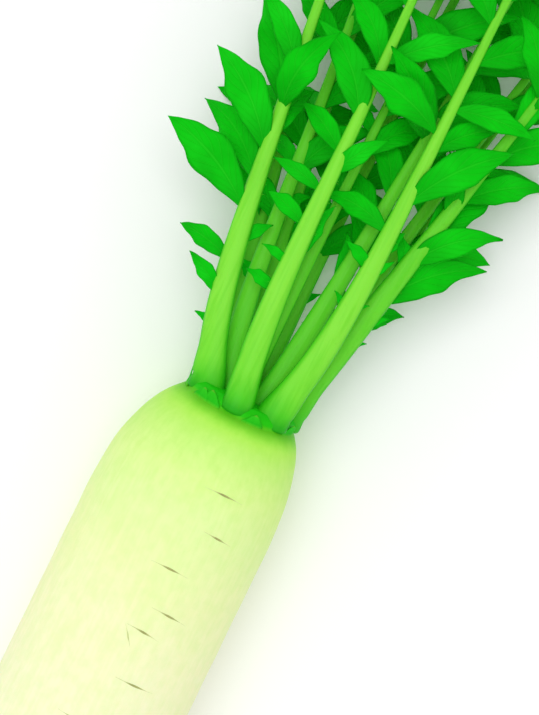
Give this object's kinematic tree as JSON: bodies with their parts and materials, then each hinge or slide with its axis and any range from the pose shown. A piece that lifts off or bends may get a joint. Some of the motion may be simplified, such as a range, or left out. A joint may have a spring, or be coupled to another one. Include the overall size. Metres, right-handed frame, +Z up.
{
  "type": "daikon radish",
  "caption": "Whole daikon radish with its leaves on, lying on its side: a long pale root with a green shoulder and crown, and a bunch of toothed feathery leaves.",
  "frame": {"origin": "middle of the narrow flat under the root, on the surface that the radish lies on", "axes": "+Z up; +Y along the root towards the crown and the leaves, so the tail points to -Y; +X to the right seen from above with the leaves away"},
  "size_m": [0.2414, 0.7907, 0.0759],
  "materials": {
    "daikon_root": "satin",
    "leaf_01": "satin",
    "leaf_02": "satin",
    "leaf_03": "satin",
    "leaf_04": "satin",
    "leaf_05": "satin",
    "leaf_06": "satin",
    "leaf_07": "satin",
    "leaf_08": "satin",
    "leaf_09": "satin",
    "leaf_10": "satin",
    "leaf_11": "satin",
    "leaf_12": "satin"
  },
  "bodies": {
    "root": {"daikon_root": "daikon_root", "leaf_01": "leaf_01", "leaf_02": "leaf_02", "leaf_03": "leaf_03", "leaf_04": "leaf_04", "leaf_05": "leaf_05", "leaf_06": "leaf_06", "leaf_07": "leaf_07", "leaf_08": "leaf_08", "leaf_09": "leaf_09", "leaf_10": "leaf_10", "leaf_11": "leaf_11", "leaf_12": "leaf_12"}
  },
  "joints": []
}
